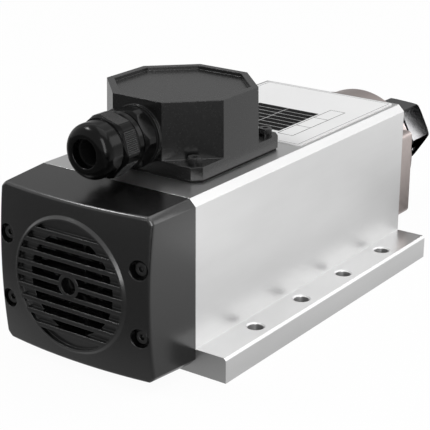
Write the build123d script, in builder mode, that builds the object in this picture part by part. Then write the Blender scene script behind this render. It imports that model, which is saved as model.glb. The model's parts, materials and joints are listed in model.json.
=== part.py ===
import os
from math import cos, radians, sin, sqrt, tan
from build123d import *

os.makedirs("parts", exist_ok=True)

# The spindle lies along X with its nose towards +X. The origin is the centre of the
# base bolt pattern, on the underside of the base, and Z is up. All sizes are in mm.

# Clearances between pieces
seat = 0.02  # radial gap of a seated fit
running = 0.05  # radial gap of a running fit
cone_gap = 0.1  # radial gap between the cones of the collet and its nut
gap = 0.3  # gap between faces that only come close

# Aluminium body with its mounting base
body_width = 82
body_height = 75
body_length = 170
body_front = 83
body_edge = 3
axis_rise = 1  # height of the spindle axis above the middle of the body
axis_height = body_height / 2 + axis_rise
rail_width = 15
base_width = body_width + 2 * rail_width
base_thickness = 11
base_edge = 1
bolt_pitch = 36
bolts_per_side = 4
bolt_stand_off = 7  # from the side of the body to the middle of a bolt hole
bolt_across = body_width + 2 * bolt_stand_off
bolt_diameter = 7
bolt_sink_diameter = 8.2
bore_roof = 5.5
stator_radius = body_height - axis_height - bore_roof
duct_wall = 4
duct_web = 3.5

# Nose casting with the front bearings
wing_height = 42
wing_thickness = 10
wing_corner = 2.5
nose_disc_rim = 3  # how far the disc and the boss reach past the bore of the body
boss_rim = 0.4
nose_disc_radius = stator_radius + nose_disc_rim
boss_radius = stator_radius + boss_rim
boss_length = 20.5
boss_edge = 0.8
spigot_length = 6
retainer_inset = 4.4
retainer_radius = boss_radius - retainer_inset
retainer_thickness = 5.5
retainer_bore = 16
nose_screw_inset = 6  # from the side of the body to the middle of a screw
nose_screw_y = body_width / 2 - nose_screw_inset
nose_screw_z = 14
boss_foot = 1.5
nose_back_bore = 19.5
pin_hole_radius = 1.75
pin_hole_depth = 3

# Bearings
front_bearing_bore = 25
front_bearing_outer = 47
front_bearing_width = 12
front_ball_diameter = 6.35
front_ball_count = 12
rear_bearing_bore = 15
rear_bearing_outer = 32
rear_bearing_width = 9
rear_ball_diameter = 4.76
rear_ball_count = 9
ring_share = 0.27  # share of the radial section taken by one ring
cage_thickness = 1.4
cage_inset = 2

# Shaft
lock_thread_radius = 12
lock_nut_radius = 17
lock_nut_thickness = 8
lock_slot_depth = 2
lock_slot_width = 4
lock_thread_runout = 2
core_seat_radius = 11.5
rear_neck_radius = 9
fan_seat_radius = 5
fan_thread_radius = 4
slinger_seat_radius = 13
collar_radius = 14.5
collar_length = 19
wrench_flats = 24
wrench_flat_length = 11
wrench_flat_inset = 3
nose_thread_radius = 12.4
nose_thread_length = 16
nose_lead = 0.8
taper_half_angle = 8
taper_mouth_radius = 10
taper_length = 27
draw_bore_radius = 6.2
draw_bore_depth = 48

# Collet and its nut
shank_diameter = 6
collet_length = 31
collet_front_recess = 1
collet_slits = 6
collet_slit_width = 0.5
collet_slit_length = 25
collet_slit_turn = 7.5
collet_groove_radius = 8.8
collet_groove_width = 1.6
collet_head_radius = 9.6
collet_cone_half_angle = 30
nut_across_flats = 30
nut_length = 19
nut_turned_radius = 17
nut_gap = 2
nut_lip_width = 0.8
nut_chamfer = 1.2
nut_rest_turn = 3.4
nut_hole_diameter = 5.2
nut_screw_height = 1.7

# Rotor, stator and windings
core_length = 75
core_rear = -30
air_gap = 0.3
stator_depth = 13.8  # from the bore of the body in to the rotor
rotor_radius = stator_radius - stator_depth
end_ring_length = 6
end_ring_inset = 1.2
end_ring_radius = rotor_radius - end_ring_inset
slot_count = 12
slot_width = 4.4
core_back = 4  # ring of the stator core behind its slots
slot_outer_radius = stator_radius - core_back
winding_reach = 15
winding_inset = 3.5
winding_outer = stator_radius - winding_inset
winding_depth = 8
winding_inner = winding_outer - winding_depth
winding_edge = 2.5

# Rear bearing shield
shield_rim = 1
shield_radius = stator_radius + shield_rim
shield_thickness = 4
shield_inset = 3.5
shield_width = body_width - 2 * shield_inset
shield_spigot = 4
shield_hub_radius = 20
shield_bore_length = 12
spring_thickness = 1.2
spring_width = 3
shield_floor = 1
fan_stand_off = 1

# Slinger disc in front of the bearings
slinger_hub_radius = 15.5
slinger_radius = 22
slinger_disc = 4
slinger_gap = 0.8
slinger_edge = 1
slinger_foot = 2

# Rear cover with the fan grille
cover_depth = 30.5
cover_wall = 2.5
cover_foot = 3.6  # height of its lower edge above the underside
cover_end_depth = 26
cover_side_draft = 2  # how far each side, the top and the bottom have come in by that depth
cover_top_draft = 1
cover_end_half_width = body_width / 2 - cover_side_draft
cover_end_bottom = cover_foot + cover_top_draft
cover_end_top = body_height - cover_top_draft
cover_corner = 2.5
dome_radius = 230
cover_edge = 1.5
grille_inset = 2
grille_ring_radius = stator_radius - grille_inset
grille_lip = 1.8
grille_radius = grille_ring_radius - grille_lip
grille_proud = 1
lip_taper = 50
grille_depth = 2
grille_floor = 2.5
grille_land = 6  # floor of the grille round its air hole
air_hole_radius = grille_radius - grille_land
slat_pitch = 5.2
slat_width = 1.8
slat_count = 9
hub_ring_radius = 5.2
hub_hole_radius = 3.7
cover_screw_inset = 6.9
cover_screw_y = body_width / 2 - cover_screw_inset
cover_screw_z = 14.3
pillar_radius = 5.4

# Socket head screws, each as thread radius, head radius and head height
m4_screw = (2, 3.5, 4)
m3_screw = (1.5, 2.75, 3)
cover_screw = m3_screw
screw_clear = 0.2
counterbore_radius = 4.15
counterbore_depth = 4.6
cover_screw_reach = 10
nose_screw_reach = 12
tap_runout = 1  # drilled depth beyond the end of a screw
screw_end_gap = 0.5
socket_share = 0.48  # corner radius of a socket as a share of the head's radius
socket_depth_share = 0.6

# Fan
fan_inset = 6.5
fan_radius = stator_radius - fan_inset
fan_plate = 1.5
fan_plate_inset = 3
fan_width = 11
fan_hub_radius = 9
fan_blades = 8
fan_blade_thickness = 1.4
fan_blade_root = 1  # foot of a blade inside the hub
fan_nut_flats = 13
fan_nut_thickness = 5
fan_nut_roof = 1.4
fan_nut_clear = 1.2

# Terminal box
box_x = -41
box_across = 62
box_height = 31
box_draft = 1
box_wall = 2.5
box_rim = 3
box_recess = 1.6
box_foot_height = 6.5
box_foot_corner = 3.5
box_screw_offset = 25.6
box_screw_reach = 9
gasket_thickness = 1
gasket_inset = 0.5
box_turn = 22.5
terminal_offset = 16

# Cable gland
gland_height = 15.5
gland_thread_radius = 10
gland_pad_radius = 12.7
gland_pad_proud = 0.9
gland_flats = 24
gland_turned_radius = 13.2
gland_washer_radius = 12.2
gland_washer_thickness = 1.2
gland_flange = 7.4
gland_edge = 1.1
gland_edge_length = 1.6
gland_neck = 0.8
gland_bore_radius = 6.4
cap_collar_radius = 12.3
cap_collar = 2.6
cap_hex = 9.4
cap_dome = 10.6
cap_dome_radius = 11.6
cap_mouth_radius = 6
cap_dome_round = 4.8
cap_mouth_round = 0.55
cap_thread_depth = 9.5
gland_neck_radius = 9.9
gland_thread_in_cap = 9
gland_body_turn = 5
gland_cap_turn = 45
seal_radius = 7.4
seal_inset = 4.6
seal_bore_radius = 5.5
seal_length = 14
gland_boss = 5
gland_boss_radius = 12.8

# Terminal block and leads
block_length = 12
block_width = 30
block_height = 13
terminal_count = 3
terminal_pitch = 6.4
terminal_screw_radius = 2
terminal_screw_drop = 1
terminal_slot = 0.6
wire_hole_radius = 8.5
lead_radius = 1.1
lead_bend = 4
earth_x = -33
earth_y = 23

# Label plate
label_rear = -4
label_length = 85
label_inset = 5
label_width = body_width - 2 * label_inset
label_thickness = 0.4
label_corner = 2

# Places worked out from the sizes above
body_rear = body_front - body_length
wing_front = body_front + wing_thickness
boss_front = wing_front + boss_length
retainer_rear = boss_front - retainer_thickness
bearing_rear = retainer_rear - 2 * front_bearing_width
lock_thread_rear = bearing_rear - lock_nut_thickness - lock_thread_runout
collar_rear = boss_front + slinger_gap + slinger_disc + slinger_foot
collar_front = collar_rear + collar_length
shaft_front = collar_front + nose_thread_length
taper_rear = shaft_front - taper_length
taper_rear_radius = taper_mouth_radius - taper_length * tan(radians(taper_half_angle))
nut_rear = collar_front + nut_gap
nut_front = nut_rear + nut_length
nut_bore_radius = nose_thread_radius + running
nut_screw_foot = nut_across_flats / 2 - nut_bore_radius - gap
collet_front = nut_front - collet_front_recess
collet_rear = collet_front - collet_length
collet_mouth_radius = taper_mouth_radius - running
collet_rear_radius = collet_mouth_radius - (shaft_front - collet_rear) * tan(radians(taper_half_angle))
collet_head = shaft_front + collet_groove_width
collet_face_radius = collet_head_radius - (collet_front - collet_head) * tan(radians(collet_cone_half_angle))
lip_rear = shaft_front + (collet_groove_width - nut_lip_width) / 2
lip_front = lip_rear + nut_lip_width
lip_radius = collet_groove_radius + gap
shank_radius = shank_diameter / 2
core_front = core_rear + core_length
core_shoulder = core_rear - end_ring_length
shield_rear = body_rear - shield_thickness
rear_bearing_rear = shield_rear + shield_floor + spring_thickness
rear_shoulder = rear_bearing_rear + rear_bearing_width
fan_shoulder = shield_rear - fan_stand_off
cover_apex = body_rear - cover_depth
grille_front = cover_apex + dome_radius - sqrt(dome_radius**2 - grille_ring_radius**2) - grille_proud
grille_back = grille_front + grille_depth
grille_inside = grille_back + grille_floor
fan_nut_rear = grille_inside + fan_nut_clear
shaft_rear = fan_nut_rear + fan_nut_roof + gap
fan_nut_front = fan_nut_rear + fan_nut_thickness
fan_hub_length = fan_shoulder - fan_nut_front
fan_plate_front = fan_shoulder - fan_plate_inset
box_seat = Plane((box_x, 0, body_height))
box_base = body_height + gasket_thickness
box_top = body_height + box_height
box_top_half = box_across / 2 - (box_top - box_base) * tan(radians(box_draft))
box_inner_half = box_across / 2 - box_wall
terminal_x = box_x + terminal_offset
gland_axis_height = body_height + gland_height
gland_face = box_x - box_across / 2 - gland_pad_proud
spindle_axis = Axis((0, 0, axis_height), (1, 0, 0))
spindle_plane = Plane(origin=(0, 0, axis_height), x_dir=(1, 0, 0), z_dir=(0, -1, 0))
cover_screw_face = cover_apex + dome_radius - sqrt(dome_radius**2 - cover_screw_y**2 - cover_screw_z**2)
cover_screw_head = cover_screw_face + counterbore_depth
lead_height = body_height + block_height / 2
block_rear = terminal_x - block_length / 2
stem_end = box_x - box_inner_half + gland_boss + gap
flange_rear = gland_face - gland_washer_thickness
flange_front = flange_rear - gland_flange
cap_rear = flange_front - gland_neck
cap_dome_rear = cap_rear - cap_collar - cap_hex
cap_front = cap_dome_rear - cap_dome
gland_axis = Axis((0, 0, gland_axis_height), (1, 0, 0))
gland_plane = Plane(origin=(0, 0, gland_axis_height), x_dir=(1, 0, 0), z_dir=(0, -1, 0))
seal_rear = cap_rear - seal_inset
seal_front_depth = seal_inset + seal_length + gap


def finish(piece, name):
    # Label a finished piece and write its file
    piece.part.label = name
    export_step(piece.part, f"parts/{name}.step")


def across(x):
    # Plane square to the spindle, centred on its axis, at x
    return Plane(origin=(x, 0, axis_height), x_dir=(0, 1, 0), z_dir=(1, 0, 0))


def facing_rear(x):
    # Plane square to the spindle at x that looks back towards the fan end
    return Plane(origin=(x, 0, axis_height), x_dir=(0, 1, 0), z_dir=(-1, 0, 0))


def turn(*points, start=spindle_plane, axis=spindle_axis, mode=Mode.ADD):
    # Turn an outline of (place along X, radius) points about the spindle or another axis
    with BuildSketch(start) as outline:
        with BuildLine():
            Polyline(*points, close=True)
        make_face()
    revolve(outline.sketch, axis=axis, mode=mode)


def nut_flat(angle):
    # Plane on the flat of the collet nut that faces angle, halfway along the nut
    out = Vector(0, cos(radians(angle)), sin(radians(angle)))
    middle = Vector((nut_rear + nut_front) / 2, 0, axis_height)
    return Plane(middle + out * (nut_across_flats / 2), x_dir=(1, 0, 0), z_dir=out)


def gland_across(x):
    # Plane square to the cable gland at x, looking out of its mouth
    return Plane(origin=(x, 0, gland_axis_height), x_dir=(0, 1, 0), z_dir=(-1, 0, 0))


def four_circles(start, across_x, across_y, radius):
    # Four circles on a rectangle, drawn on the plane start
    with BuildSketch(start) as circles:
        with GridLocations(across_x, across_y, 2, 2):
            Circle(radius)
    return circles.sketch


def drill_four(start, across_x, across_y, radius, depth):
    # Four holes on a rectangle, drilled back from the plane start
    extrude(four_circles(start, across_x, across_y, radius), amount=-depth, mode=Mode.SUBTRACT)


def socket_screws(start, across_x, across_y, size, reach):
    # Four socket head screws on a rectangle, with their heads on the plane start
    thread, head, head_height = size
    extrude(four_circles(start, across_x, across_y, head), amount=head_height)
    with BuildSketch(start.offset(head_height)) as sockets:
        with GridLocations(across_x, across_y, 2, 2):
            RegularPolygon(head * socket_share, 6)
    extrude(sockets.sketch, amount=-head_height * socket_depth_share, mode=Mode.SUBTRACT)
    extrude(four_circles(start, across_x, across_y, thread), amount=-reach)


# Housing: an extrusion in one piece with its base rails
with BuildPart() as housing:
    with BuildSketch(Plane.YZ.offset(body_rear)) as body_outline:
        with Locations((0, body_height / 2)):
            Rectangle(body_width, body_height)
        chamfer(body_outline.vertices().group_by(Axis.Y)[-1], body_edge)
        with Locations((0, base_thickness / 2)):
            Rectangle(base_width, base_thickness)
        base_tops = [v for v in body_outline.vertices() if abs(abs(v.X) - base_width / 2) < 0.01]
        chamfer([v for v in base_tops if v.Y > base_thickness / 2], base_edge)
        with Locations((0, axis_height)):
            Circle(stator_radius, mode=Mode.SUBTRACT)
    extrude(amount=body_length)
    # Four air ducts run the whole length, between the bore and the corners
    with BuildSketch(Plane.YZ.offset(body_rear)):
        duct_top = body_height - duct_wall
        with Locations((0, (duct_top + duct_wall) / 2)):
            Rectangle(body_width - 2 * duct_wall, duct_top - duct_wall)
        with Locations((0, axis_height)):
            Circle(stator_radius + duct_web, mode=Mode.SUBTRACT)
            Rectangle(body_width, wing_height, mode=Mode.SUBTRACT)
            Rectangle(2 * duct_web, 2 * body_height, mode=Mode.SUBTRACT)
    extrude(amount=body_length, mode=Mode.SUBTRACT)
    with BuildSketch(Plane.XY.offset(base_thickness)):
        with GridLocations(bolt_pitch, bolt_across, bolts_per_side, 2):
            Circle(bolt_diameter / 2)
    extrude(amount=-base_thickness, mode=Mode.SUBTRACT)
    rims = housing.edges().filter_by(GeomType.CIRCLE).group_by(Axis.Z)
    rims = [group for group in rims if abs(group[0].center().Z - base_thickness) < gap][0]
    chamfer(rims, (bolt_sink_diameter - bolt_diameter) / 2)
    # Threaded holes for the nose, the rear cover and the terminal box, and the wire way
    drill_four(across(body_front), 2 * nose_screw_y, 2 * nose_screw_z, m4_screw[0] + seat,
               nose_screw_reach + tap_runout)
    drill_four(facing_rear(body_rear), 2 * cover_screw_y, 2 * cover_screw_z, cover_screw[0] + seat,
               cover_screw_reach + tap_runout)
    drill_four(box_seat, 2 * box_screw_offset, 2 * box_screw_offset, m3_screw[0] + seat, duct_wall)
    with BuildSketch(box_seat):
        Circle(wire_hole_radius)
        with Locations((earth_x - box_x, earth_y)):
            Circle(m4_screw[0] + seat)
    extrude(amount=-(body_height - axis_height - stator_radius / 2), mode=Mode.SUBTRACT)
finish(housing, "housing")

# Nose casting: side wings that leave the corner ducts open, a boss and a spigot
with BuildPart() as front_housing:
    with BuildSketch(across(body_front)) as wings:
        Rectangle(body_width, wing_height)
        fillet(wings.vertices(), wing_corner)
        Circle(nose_disc_radius)
    extrude(amount=wing_thickness)
    turn((wing_front, 0), (boss_front, 0), (boss_front, boss_radius - boss_edge),
         (boss_front - boss_edge, boss_radius), (wing_front + boss_foot, boss_radius),
         (wing_front, boss_radius + boss_foot))
    turn((body_front - spigot_length, 0), (body_front, 0), (body_front, stator_radius - seat),
         (body_front - spigot_length, stator_radius - seat))
    with BuildSketch(across(boss_front)):
        Circle(retainer_radius + seat)
    extrude(amount=-retainer_thickness, mode=Mode.SUBTRACT)
    with BuildSketch(across(retainer_rear)):
        Circle(front_bearing_outer / 2 + seat)
    extrude(amount=-2 * front_bearing_width, mode=Mode.SUBTRACT)
    with BuildSketch(across(bearing_rear)):
        Circle(nose_back_bore)
    extrude(amount=-(bearing_rear - body_front + spigot_length), mode=Mode.SUBTRACT)
    drill_four(across(wing_front), 2 * nose_screw_y, 2 * nose_screw_z, counterbore_radius, counterbore_depth)
    drill_four(across(wing_front), 2 * nose_screw_y, 2 * nose_screw_z, m4_screw[0] + screw_clear,
               wing_thickness)
finish(front_housing, "front_housing")

with BuildPart() as nose_screws:
    socket_screws(across(wing_front - counterbore_depth), 2 * nose_screw_y, 2 * nose_screw_z, m4_screw,
                  wing_thickness - counterbore_depth + nose_screw_reach)
finish(nose_screws, "nose_screws")

# Threaded ring that holds the front bearings, with four holes for a pin wrench
with BuildPart() as bearing_retainer:
    with BuildSketch(across(retainer_rear)):
        Circle(retainer_radius)
        Circle(retainer_bore, mode=Mode.SUBTRACT)
    extrude(amount=retainer_thickness)
    with BuildSketch(across(boss_front)):
        with PolarLocations((retainer_radius + retainer_bore) / 2, 4, start_angle=45):
            Circle(pin_hole_radius)
    extrude(amount=-pin_hole_depth, mode=Mode.SUBTRACT)
finish(bearing_retainer, "bearing_retainer")


def bearing(name, bore, outer, width, ball, balls, starts):
    # Inner rings, outer rings and caged balls of a ball bearing, one for each start along X
    section = (outer - bore) / 2
    pitch_radius = (outer + bore) / 4
    ring = section * ring_share
    groove = ball / 2 + running
    with BuildPart() as inners:
        for start in starts:
            turn((start, bore / 2), (start + width, bore / 2), (start + width, bore / 2 + ring),
                 (start, bore / 2 + ring))
        for start in starts:
            with BuildSketch(spindle_plane):
                with Locations((start + width / 2, pitch_radius)):
                    Circle(groove)
            revolve(axis=spindle_axis, mode=Mode.SUBTRACT)
    finish(inners, name + "_inner")
    with BuildPart() as outers:
        for start in starts:
            turn((start, outer / 2), (start + width, outer / 2), (start + width, outer / 2 - ring),
                 (start, outer / 2 - ring))
        for start in starts:
            with BuildSketch(spindle_plane):
                with Locations((start + width / 2, pitch_radius)):
                    Circle(groove)
            revolve(axis=spindle_axis, mode=Mode.SUBTRACT)
    finish(outers, name + "_outer")
    with BuildPart() as caged:
        for start in starts:
            turn((start + cage_inset, pitch_radius - cage_thickness / 2),
                 (start + width - cage_inset, pitch_radius - cage_thickness / 2),
                 (start + width - cage_inset, pitch_radius + cage_thickness / 2),
                 (start + cage_inset, pitch_radius + cage_thickness / 2))
            with Locations(across(start + width / 2)):
                with PolarLocations(pitch_radius, balls):
                    Sphere(ball / 2)
    finish(caged, name + "_balls")


bearing("front_bearing", front_bearing_bore, front_bearing_outer, front_bearing_width, front_ball_diameter,
        front_ball_count, [bearing_rear, bearing_rear + front_bearing_width])
bearing("rear_bearing", rear_bearing_bore, rear_bearing_outer, rear_bearing_width, rear_ball_diameter,
        rear_ball_count, [rear_bearing_rear])

# Slotted nut that clamps the front bearings on the shaft
with BuildPart() as bearing_lock_nut:
    with BuildSketch(across(bearing_rear - lock_nut_thickness)):
        Circle(lock_nut_radius)
        Circle(lock_thread_radius + seat, mode=Mode.SUBTRACT)
        with PolarLocations(lock_nut_radius, 4):
            Rectangle(lock_slot_depth * 2, lock_slot_width, mode=Mode.SUBTRACT)
    extrude(amount=lock_nut_thickness)
finish(bearing_lock_nut, "bearing_lock_nut")

# Disc that turns with the shaft and keeps dust out of the bearings
with BuildPart() as dust_slinger:
    slinger_rear = boss_front + slinger_gap
    turn((retainer_rear, slinger_seat_radius + seat), (retainer_rear, slinger_hub_radius),
         (slinger_rear, slinger_hub_radius), (slinger_rear, slinger_radius),
         (slinger_rear + slinger_disc - slinger_edge, slinger_radius),
         (slinger_rear + slinger_disc, slinger_radius - slinger_edge),
         (slinger_rear + slinger_disc, slinger_hub_radius), (collar_rear, slinger_hub_radius),
         (collar_rear, slinger_seat_radius + seat))
finish(dust_slinger, "dust_slinger")

# Shaft, from the fan thread at the back to the tapered nose
with BuildPart() as shaft:
    turn((shaft_rear, 0), (shaft_rear, fan_thread_radius), (fan_nut_front, fan_thread_radius),
         (fan_nut_front, fan_seat_radius), (fan_shoulder, fan_seat_radius),
         (fan_shoulder, rear_bearing_bore / 2 - seat), (rear_shoulder, rear_bearing_bore / 2 - seat),
         (rear_shoulder, rear_neck_radius), (core_shoulder, rear_neck_radius),
         (core_shoulder, core_seat_radius), (lock_thread_rear, core_seat_radius),
         (lock_thread_rear, lock_thread_radius), (bearing_rear, lock_thread_radius),
         (bearing_rear, front_bearing_bore / 2 - seat), (retainer_rear, front_bearing_bore / 2 - seat),
         (retainer_rear, slinger_seat_radius), (collar_rear, slinger_seat_radius),
         (collar_rear, collar_radius), (collar_front, collar_radius), (collar_front, nose_thread_radius),
         (shaft_front - nose_lead, nose_thread_radius), (shaft_front, nose_thread_radius - nose_lead),
         (shaft_front, 0))
    turn((shaft_front, 0), (shaft_front, taper_mouth_radius), (taper_rear, taper_rear_radius),
         (taper_rear, draw_bore_radius), (shaft_front - draw_bore_depth, draw_bore_radius),
         (shaft_front - draw_bore_depth - draw_bore_radius / 2, 0), mode=Mode.SUBTRACT)
    # Two flats for the wrench that holds the shaft
    with BuildSketch(across(collar_front - wrench_flat_inset)):
        with GridLocations(0, wrench_flats + collar_radius, 1, 2):
            Rectangle(4 * collar_radius, collar_radius)
    extrude(amount=-wrench_flat_length, mode=Mode.SUBTRACT)
finish(shaft, "shaft")

# Spring collet: turned outside, then slit in turn from the front and from the back
with BuildPart() as collet:
    turn((collet_rear, shank_radius), (collet_rear, collet_rear_radius), (shaft_front, collet_mouth_radius),
         (shaft_front, collet_groove_radius), (collet_head, collet_groove_radius),
         (collet_head, collet_head_radius), (collet_front, collet_face_radius), (collet_front, shank_radius))
    with BuildSketch(across(collet_front)):
        with PolarLocations(collet_mouth_radius, collet_slits, start_angle=collet_slit_turn):
            Rectangle(2 * (collet_mouth_radius - shank_radius / 2), collet_slit_width)
    extrude(amount=-collet_slit_length, mode=Mode.SUBTRACT)
    with BuildSketch(across(collet_rear)):
        with PolarLocations(collet_mouth_radius, collet_slits,
                            start_angle=collet_slit_turn + 180 / collet_slits):
            Rectangle(2 * (collet_mouth_radius - shank_radius / 2), collet_slit_width)
    extrude(amount=collet_slit_length, mode=Mode.SUBTRACT)
finish(collet, "collet")

# Hexagon nut, turned at both ends, that closes the collet
with BuildPart() as collet_nut:
    with BuildSketch(across(nut_rear)):
        RegularPolygon(nut_across_flats / 2, 6, major_radius=False, rotation=nut_rest_turn)
    extrude(amount=nut_length)
    turn((nut_rear, 0), (nut_rear, nut_turned_radius - nut_chamfer),
         (nut_rear + nut_chamfer / 2, nut_turned_radius), (nut_front - nut_chamfer / 2, nut_turned_radius),
         (nut_front, nut_turned_radius - nut_chamfer), (nut_front, 0), mode=Mode.INTERSECT)
    turn((nut_rear, 0), (nut_rear, nut_bore_radius), (lip_rear, nut_bore_radius), (lip_rear, lip_radius),
         (lip_front, lip_radius), (lip_front, collet_head_radius + cone_gap),
         (collet_head, collet_head_radius + cone_gap), (collet_front, collet_face_radius + cone_gap),
         (nut_front, collet_face_radius + cone_gap), (nut_front, 0), mode=Mode.SUBTRACT)
    for turn_angle in (30 + nut_rest_turn, 210 + nut_rest_turn):
        with BuildSketch(nut_flat(turn_angle)):
            Circle(nut_hole_diameter / 2)
        extrude(amount=-(nut_screw_foot + nose_lead), mode=Mode.SUBTRACT)
finish(collet_nut, "collet_nut")

with BuildPart() as nut_set_screws:
    for turn_angle in (30 + nut_rest_turn, 210 + nut_rest_turn):
        with BuildSketch(nut_flat(turn_angle).offset(-nut_screw_foot)):
            Circle(nut_hole_diameter / 2 - seat)
        extrude(amount=nut_screw_height)
        with BuildSketch(nut_flat(turn_angle).offset(nut_screw_height - nut_screw_foot)):
            RegularPolygon(nut_hole_diameter / 4, 6)
        extrude(amount=-nut_screw_height / 2, mode=Mode.SUBTRACT)
finish(nut_set_screws, "nut_set_screws")

# Rotor core and its two cast end rings, pressed on the shaft
with BuildPart() as rotor_core:
    with BuildSketch(across(core_rear)):
        Circle(rotor_radius)
        Circle(core_seat_radius + seat, mode=Mode.SUBTRACT)
    extrude(amount=core_length)
finish(rotor_core, "rotor_core")

with BuildPart() as rotor_end_rings:
    with BuildSketch(across(core_rear)) as end_ring:
        Circle(end_ring_radius)
        Circle(core_seat_radius + seat, mode=Mode.SUBTRACT)
    extrude(amount=-end_ring_length)
    with BuildSketch(across(core_front)):
        add(end_ring.sketch_local)
    extrude(amount=end_ring_length)
finish(rotor_end_rings, "rotor_end_rings")

# Stator core with open slots, and the winding that fills them
with BuildPart() as stator_core:
    with BuildSketch(across(core_rear)):
        Circle(stator_radius - seat)
        Circle(rotor_radius + air_gap, mode=Mode.SUBTRACT)
        with PolarLocations(slot_outer_radius / 2, slot_count):
            Rectangle(slot_outer_radius, slot_width, mode=Mode.SUBTRACT)
    extrude(amount=core_length)
finish(stator_core, "stator_core")

with BuildPart() as stator_winding:
    for near, far, edge in ((core_rear - gap, core_rear - winding_reach, -winding_edge),
                            (core_front + gap, core_front + winding_reach, winding_edge)):
        turn((near, winding_inner), (near, winding_outer), (far - edge, winding_outer),
             (far, winding_outer - winding_edge), (far, winding_inner))
    with BuildSketch(across(core_rear - 2 * gap)):
        with PolarLocations((winding_inner + slot_outer_radius) / 2, slot_count):
            Rectangle(slot_outer_radius - winding_inner - 2 * gap, slot_width - 2 * gap)
    extrude(amount=core_length + 4 * gap)
finish(stator_winding, "stator_winding")

# Rear shield that carries the rear bearing; it leaves the ducts open as the nose does
with BuildPart() as rear_shield:
    with BuildSketch(facing_rear(body_rear)) as ears:
        Rectangle(shield_width, wing_height)
        fillet(ears.vertices(), wing_corner)
        Circle(shield_radius)
    extrude(amount=shield_thickness)
    with BuildSketch(across(body_rear)):
        Circle(stator_radius - seat)
        Circle(stator_radius - shield_spigot, mode=Mode.SUBTRACT)
    extrude(amount=shield_spigot)
    with BuildSketch(across(shield_rear)):
        Circle(shield_hub_radius)
    extrude(amount=shield_bore_length)
    with BuildSketch(across(shield_rear + shield_floor)):
        Circle(rear_bearing_outer / 2 + seat)
    extrude(amount=shield_bore_length, mode=Mode.SUBTRACT)
    with BuildSketch(across(shield_rear)):
        Circle(rear_neck_radius)
    extrude(amount=shield_bore_length, mode=Mode.SUBTRACT)
    drill_four(facing_rear(shield_rear), 2 * cover_screw_y, 2 * cover_screw_z, cover_screw[0] + screw_clear,
               shield_thickness)
finish(rear_shield, "rear_shield")

with BuildPart() as preload_spring:
    with BuildSketch(across(shield_rear + shield_floor)):
        Circle(rear_bearing_outer / 2 - gap)
        Circle(rear_bearing_outer / 2 - spring_width, mode=Mode.SUBTRACT)
    extrude(amount=spring_thickness)
finish(preload_spring, "preload_spring")

# Fan with straight blades, so that it blows the same way in both directions of rotation
with BuildPart() as fan:
    with BuildSketch(across(fan_shoulder)):
        Circle(fan_hub_radius)
    extrude(amount=-fan_hub_length)
    with BuildSketch(across(fan_plate_front)):
        Circle(fan_radius)
    extrude(amount=-fan_plate)
    with BuildSketch(across(fan_plate_front - fan_plate)):
        with PolarLocations((fan_radius + fan_hub_radius - fan_blade_root) / 2, fan_blades):
            Rectangle(fan_radius - fan_hub_radius + fan_blade_root, fan_blade_thickness)
    extrude(amount=-(fan_width - fan_plate))
    with BuildSketch(across(fan_shoulder)):
        Circle(fan_seat_radius + seat)
    extrude(amount=-fan_hub_length, mode=Mode.SUBTRACT)
finish(fan, "fan")

# Closed nut over the end of the shaft
with BuildPart() as fan_nut:
    with BuildSketch(across(fan_nut_front)):
        RegularPolygon(fan_nut_flats / 2, 6, major_radius=False)
    extrude(amount=-fan_nut_thickness)
    with BuildSketch(across(fan_nut_front)):
        Circle(fan_thread_radius + seat)
    extrude(amount=fan_nut_roof - fan_nut_thickness, mode=Mode.SUBTRACT)
finish(fan_nut, "fan_nut")


def cover_section(depth, wall):
    # Section of the drafted rear cover at depth behind the body, moved in by wall
    share = depth / cover_end_depth
    half_width = body_width / 2 + (cover_end_half_width - body_width / 2) * share - wall
    bottom = cover_foot + (cover_end_bottom - cover_foot) * share + wall
    top = body_height + (cover_end_top - body_height) * share - wall
    with BuildSketch(Plane.YZ.offset(body_rear - depth)) as section:
        with Locations((0, (top + bottom) / 2)):
            Rectangle(2 * half_width, top - bottom)
        if depth == 0:
            chamfer(section.vertices(), body_edge)
        else:
            fillet(section.vertices(), cover_corner)
    return section.sketch


# Rear cover: a drafted shell under a domed end, with a round grille let into it
with BuildPart() as cover_room:
    loft([cover_section(0, cover_wall), cover_section(2 * cover_depth, cover_wall)])
    with Locations((cover_apex + dome_radius, 0, axis_height)):
        Sphere(dome_radius - cover_wall, mode=Mode.INTERSECT)
    with BuildSketch(across(shield_rear)):
        with GridLocations(2 * cover_screw_y, 2 * cover_screw_z, 2, 2):
            Circle(pillar_radius)
    extrude(amount=-cover_depth, mode=Mode.SUBTRACT)

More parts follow.
